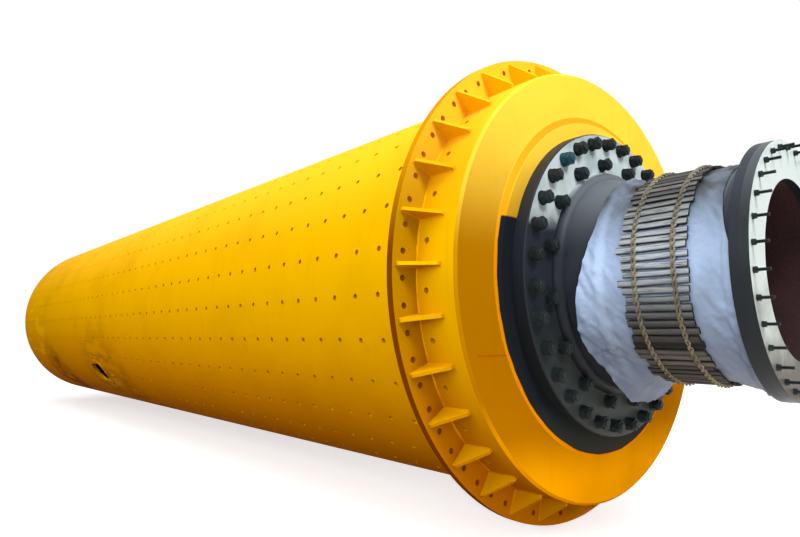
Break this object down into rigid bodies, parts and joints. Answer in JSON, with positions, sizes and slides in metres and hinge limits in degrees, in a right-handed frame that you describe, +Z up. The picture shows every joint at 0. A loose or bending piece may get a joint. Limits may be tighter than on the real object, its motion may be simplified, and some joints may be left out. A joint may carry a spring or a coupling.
{
  "type": "grinding mill drum",
  "caption": "Rotating drum of a ball mill with hollow trunnions, a drilled gear flange on gussets, liner bolt holes and wrapped journals.",
  "frame": {"origin": "centre of the near end ring's machined face, on the drum axis, at the mouth of the near bore", "axes": "+X along the drum axis out of the near end face, +Z up, the side shown in the reference view faces -Y"},
  "size_m": [15.734, 3.6058, 3.6058],
  "materials": {
    "yellow_enamel": "gloss",
    "slate_paint": "satin",
    "machined_steel": "satin",
    "blackened_steel": "satin",
    "maroon_primer": "matte",
    "woven_cloth": "matte",
    "weathered_lath": "matte",
    "straw_rope": "matte"
  },
  "bodies": {
    "root": {"end_ring_far": "machined_steel", "end_ring_near": "machined_steel", "end_studs_far": "blackened_steel", "end_studs_near": "blackened_steel", "gear_flange": "yellow_enamel", "gear_flange_gussets": "yellow_enamel", "head_far": "yellow_enamel", "head_near": "yellow_enamel", "journal_cloth_far": "woven_cloth", "journal_cloth_near": "woven_cloth", "journal_laths_far": "weathered_lath", "journal_laths_near": "weathered_lath", "lashing_rope_inner_far": "straw_rope", "lashing_rope_inner_near": "straw_rope", "lashing_rope_outer_far": "straw_rope", "lashing_rope_outer_near": "straw_rope", "liner_tube_far": "maroon_primer", "liner_tube_near": "maroon_primer", "manhole_frame": "yellow_enamel", "shell_course_1": "yellow_enamel", "shell_course_2": "yellow_enamel", "shell_course_3": "yellow_enamel", "shell_course_4": "yellow_enamel", "trunnion_far": "slate_paint", "trunnion_near": "slate_paint"}
  },
  "joints": []
}
